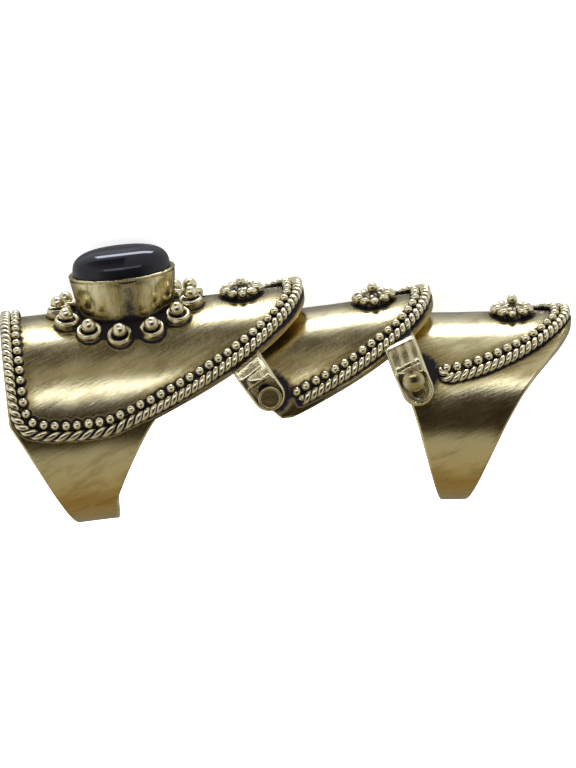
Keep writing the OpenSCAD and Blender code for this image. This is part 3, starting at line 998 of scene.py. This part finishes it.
def ear(segment, side):
    e = EARS[segment]
    low, high = e["slot"]
    start, n, rings = (low + high) / 2, 112, 26
    lean = radians(e["lean"])
    outer, inner = [], []
    for share in (k / (rings - 1) for k in range(rings)):
        face, back = [], []
        for j in range(n):
            turn = 2 * pi * (j + 0.5) / n
            ou, ov = outline_point(turn, start, e["up"], e["end"])
            su, sv = slot_point(turn, start, low, high)
            u, v = su + (ou - su) * share, sv + (ov - sv) * share
            x = e["at"][0] + u * cos(lean) - v * sin(lean)
            z = e["at"][2] + u * sin(lean) + v * cos(lean)
            out, bright = ear_relief(e, u, v)
            face.append((x, np.interp(z, *zip(*e["face"])) + out, z, bright, u, v))
            back.append((x, np.interp(z, *zip(*e["back"])), z, 0.5, u, v))
        outer.append(face)
        inner.append(back)
    x, y, z, bright, u, v = np.array(outer + inner[::-1]).reshape(-1, 6).T
    points = np.column_stack([x, -side * y, z])
    faces = grid_faces(2 * rings, n, close_rows=True)
    return points, faces, bright, np.column_stack([v * 1.5, u * 1.5, y]), 0.0


for segment in EARS:
    both = merge([ear(segment, 1), ear(segment, -1)])
    piece(f"{segment}_ears", both, segment, segment, ear_brass)

# %% [markdown]
# ## Rivets
# A headed rivet stands in each slot. The first pair has flat heads with a bright raised rim,
# the second pair has domed heads. Each is one turned piece: the head, and the pin that goes
# through the slot into the next segment.

# %% Rivet heads
PIN_R = 0.65
FLAT = rounded([
    (PIN_R, -3.4), (PIN_R, -0.2), (1.15, -0.2), (1.29, 0.0), (1.29, 0.34), (1.24, 0.45),
    (1.14, 0.5), (1.03, 0.47), (0.96, 0.38), (0.9, 0.36), (0.3, 0.37), (0.02, 0.37),
], 0.05)
DOME_R, DOME_UP = 1.24, 0.7
CAP = (DOME_R ** 2 + DOME_UP ** 2) / (2 * DOME_UP)  # radius of the ball that the dome is cut from
DOME = rounded([(PIN_R, -4.1), (PIN_R, 0.0), (1.1, 0.0), (1.2, 0.01), (1.235, 0.05)], 0.03)
DOME += [(r, DOME_UP - 0.01 - CAP + sqrt(CAP ** 2 - r ** 2))
         for r in (1.2, 1.12, 1.0, 0.85, 0.7, 0.5, 0.3, 0.1)]
FLAT_GROOVE, DOME_GROOVE = 0.93, 1.22
FLAT_SEAT, DOME_SEAT = 11.25, 11.05  # distance of a head's underside from the finger's middle


def rivet(profile, at, seat, dark, side):
    """A turned rivet. dark is the radius of the groove in its head that keeps the patina."""
    points, faces = lathe(profile, 48)
    radius, height = np.hypot(points[:, 0], points[:, 1]), points[:, 2]
    groove = np.exp(-((radius - dark) / 0.05) ** 2)
    clear = np.where(height < 0, np.where(height < -3, 0.6, 0.1), 0.7 - 0.75 * groove)
    lie = points.copy()
    turned_out = np.column_stack([points[:, 0], -points[:, 2] - seat, points[:, 1]])
    turned_out = turned_out * (1, side, 1) + (at[0], 0, at[2])
    if side < 0:
        faces = [tuple(reversed(f)) for f in faces]
    return turned_out, faces, clear, lie, 0.0


for side, flank in ((1, "near"), (-1, "far")):
    flat = rivet(FLAT, PIN_1, FLAT_SEAT, FLAT_GROOVE, side)
    domed = rivet(DOME, PIN_2, DOME_SEAT, DOME_GROOVE, side)
    piece(f"rivet_head_1_{flank}", flat, "base", "rivets_1", rivet_brass, [f"rivet_1_{flank}"])
    piece(f"rivet_head_2_{flank}", domed, "middle", "rivets_2", rivet_brass, [f"rivet_2_{flank}"])

# %% [markdown]
# ## Floor
# The photograph is cut out on white, so the floor is a plain pale sheet. It belongs to the
# studio and not to the ring. It glows softly like a light table, which leaves only a faint
# shadow. A little noise in its roughness keeps it from looking flat.

# %% Floor sheet
FLOOR_HALF, FLOOR_DOWN = 1.5, 0.00002


def pale_floor():
    m = Finish("pale_paper")
    grain = m.noise(m.wire("ShaderNodeTexCoord", output="Object"), 900.0, 3.0, 0.6)
    m.feed(m.shader, {
        "Base Color": (0.9, 0.9, 0.9, 1), "Roughness": grain * 0.1 + 0.75,
        "Emission Color": (1, 1, 1, 1), "Emission Strength": 0.8,
    })
    corners = [(x * FLOOR_HALF, y * FLOOR_HALF, 0) for x, y in ((-1, -1), (1, -1), (1, 1), (-1, 1))]
    mesh = bpy.data.meshes.new("floor")
    mesh.from_pydata(corners, [], [(0, 1, 2, 3)])
    mesh.materials.append(m.material)
    made = placed("floor", mesh)
    made.location.z = -FLOOR_DOWN
    made.visible_glossy = made.visible_shadow = False
    print("floor of", 2 * FLOOR_HALF, "m, with", len(m.tree.nodes), "nodes")


pale_floor()

# %% [markdown]
# ## Camera
# The photograph looks at the near flank from a little above the ring's own level, with a long
# lens, and the ring is turned a few degrees in the picture. The same view is set up in the
# ring frame. As the ring lies on its side, that puts the camera well above the floor.

# %% Camera
FIELD, ELEVATION, AZIMUTH, ROLL = 6.0, 15.55, -0.3, 6.65
TARGET, DISTANCE = (21.75, 0.0, 0.85), 796.0


def ring_direction(v):
    """A direction of the ring frame, as the ring lies in the row."""
    return Vector(LAY @ np.array(v, float))


def camera_axes():
    """The camera's right, up and back, in the ring frame."""
    az, el, roll = radians(AZIMUTH), radians(ELEVATION), radians(ROLL)
    back = np.array([sin(az) * cos(el), -cos(az) * cos(el), sin(el)])
    right = np.cross([0, 0, 1], back)
    right /= np.linalg.norm(right)
    up = np.cross(back, right)
    return cos(roll) * right - sin(roll) * up, sin(roll) * right + cos(roll) * up, back


def standing(x, y, z, place):
    """The matrix of an object at a place with its own x, y and z along three directions."""
    return Matrix([[x[i], y[i], z[i], place[i]] for i in range(3)] + [[0, 0, 0, 1]])


def add_camera():
    right, up, back = (ring_direction(v) for v in camera_axes())
    data = bpy.data.cameras.new("camera")
    data.sensor_fit, data.angle = "VERTICAL", radians(FIELD)
    data.clip_start, data.clip_end = 0.01, 10
    made = placed("camera", data)
    place = in_row([TARGET])[0] + np.array(back) * DISTANCE * MM
    made.matrix_world = standing(right, up, back, place)
    bpy.context.scene.camera = made
    print("camera", place.round(4), "height over the floor", round(place[2] / MM), "mm")


add_camera()

# %% [markdown]
# ## Light
# Polished metal shows the room it stands in, so most of the light is in the room itself. Its
# brightness goes by the angle round the finger, in the bands that the photograph's plates show:
# pale over them, a dark gap, a grey band and black below. Toward the fingertip a second list
# takes over, because the tip segment shows a softer sky, and to both sides the room turns pale,
# which gives the beads and the bezel their bright flanks. Two narrow strips draw the lines on
# the stone, and one large lamp lights whatever is dull. It isn't seen in reflections.

# %% Lamps
LAMP_COLOUR = (0.90, 0.95, 1.12)


def lamp(name, toward, distance, size, power):
    """A soft lamp in a direction of the ring frame, facing its middle. Sizes are in mm."""
    data = bpy.data.lights.new(name, "AREA")
    data.shape, data.size, data.size_y = "RECTANGLE", size[0] * MM, size[1] * MM
    data.energy, data.color = power, LAMP_COLOUR
    made = placed(name, data)
    way = ring_direction(toward).normalized()
    middle = Vector(in_row([TARGET])[0])
    along = ring_direction((1, 0, 0))
    along = (along - along.dot(way) * way).normalized()
    across = way.cross(along)
    made.matrix_world = standing(along, across, way, middle + way * distance * MM)
    print("lamp", name, "of", power, "W at", distance, "mm")
    return made


def from_crown(a, x=0.0):
    """A direction at angle a from the crown, near side positive."""
    return (x, -sin(radians(a)), cos(radians(a)))


lamp("strip_behind", from_crown(-32, 0.05), distance=400, size=(270, 75), power=0.6)
lamp("strip_front", from_crown(49), distance=380, size=(420, 80), power=0.18)
large = lamp("room", from_crown(129), distance=1000, size=(1500, 1500), power=24.0)
large.visible_glossy = False

# %% [markdown]
# The bands are colour ramps. Their places are angles from the crown, as seen from the ring: 90
# is toward the near flank, and 180 and -180 are both below the finger.

# %% The room's bands
BELOW = [(116, (0.40, 0.38, 0.32)), (155, (0.40, 0.34, 0.22)), (180, (0.26, 0.18, 0.07))]
SHADE = (104, (0.03, 0.022, 0.014))
ROOM = [
    (-180, (0.26, 0.18, 0.07)), (-150, (0.28, 0.23, 0.15)), (-100, (0.22, 0.22, 0.23)),
    (-68, (0.26, 0.26, 0.28)), (-52, (0.90, 0.94, 1.05)), (-20, (0.85, 0.87, 0.95)),
    (-12, (0.05, 0.035, 0.02)), (10, (0.05, 0.035, 0.02)), (18, (0.24, 0.21, 0.16)),
    (40, (0.28, 0.25, 0.19)), (46, (0.76, 0.79, 0.90)), (56, (0.72, 0.74, 0.84)),
    (62, (0.04, 0.027, 0.017)), SHADE, *BELOW,
]
ROOM_AHEAD = [
    (-180, (0.26, 0.18, 0.07)), (-100, (0.30, 0.30, 0.31)), (-66, (0.42, 0.43, 0.46)),
    (-50, (0.70, 0.73, 0.80)), (-16, (0.64, 0.65, 0.68)), (10, (0.62, 0.61, 0.58)),
    (42, (0.52, 0.49, 0.41)), (58, (0.04, 0.027, 0.017)), SHADE, *BELOW,
]
PALE_SIDES = (0.74, 0.75, 0.78, 1)


def room():
    world = bpy.data.worlds.new("room")
    world.use_nodes = True
    w = Wiring(world.node_tree)
    way = w.wire("ShaderNodeTexCoord", output="Generated")

    def along(v):
        return w.wire("ShaderNodeVectorMath", {"operation": "DOT_PRODUCT"},
                      {0: way, 1: tuple(ring_direction(v))}, "Value")

    near = along((0, -1, 0))
    turn = near.math("ARCTAN2", near, along((0, 0, 1)))
    share = turn * (1 / (2 * pi)) + 0.5
    bands = [
        w.wire("ShaderNodeValToRGB", {"stops": [((a + 180) / 360, c) for a, c in stops]},
               {"Fac": share}, "Color")
        for stops in (ROOM, ROOM_AHEAD)
    ]
    ahead = along((1, 0, 0))
    mixed = w.tint(ahead.above(0.02, 0.1), *bands)
    aside = ahead - 0.1
    mixed = w.tint((aside * aside).above(0.0, 0.9), mixed, PALE_SIDES)
    w.feed(w.tree.nodes["Background"], {"Color": mixed})
    bpy.context.scene.world = world
    print("room of", len(ROOM), "and", len(ROOM_AHEAD), "bands,", len(w.tree.nodes), "nodes")


room()
bpy.context.scene.view_settings.view_transform = "Standard"
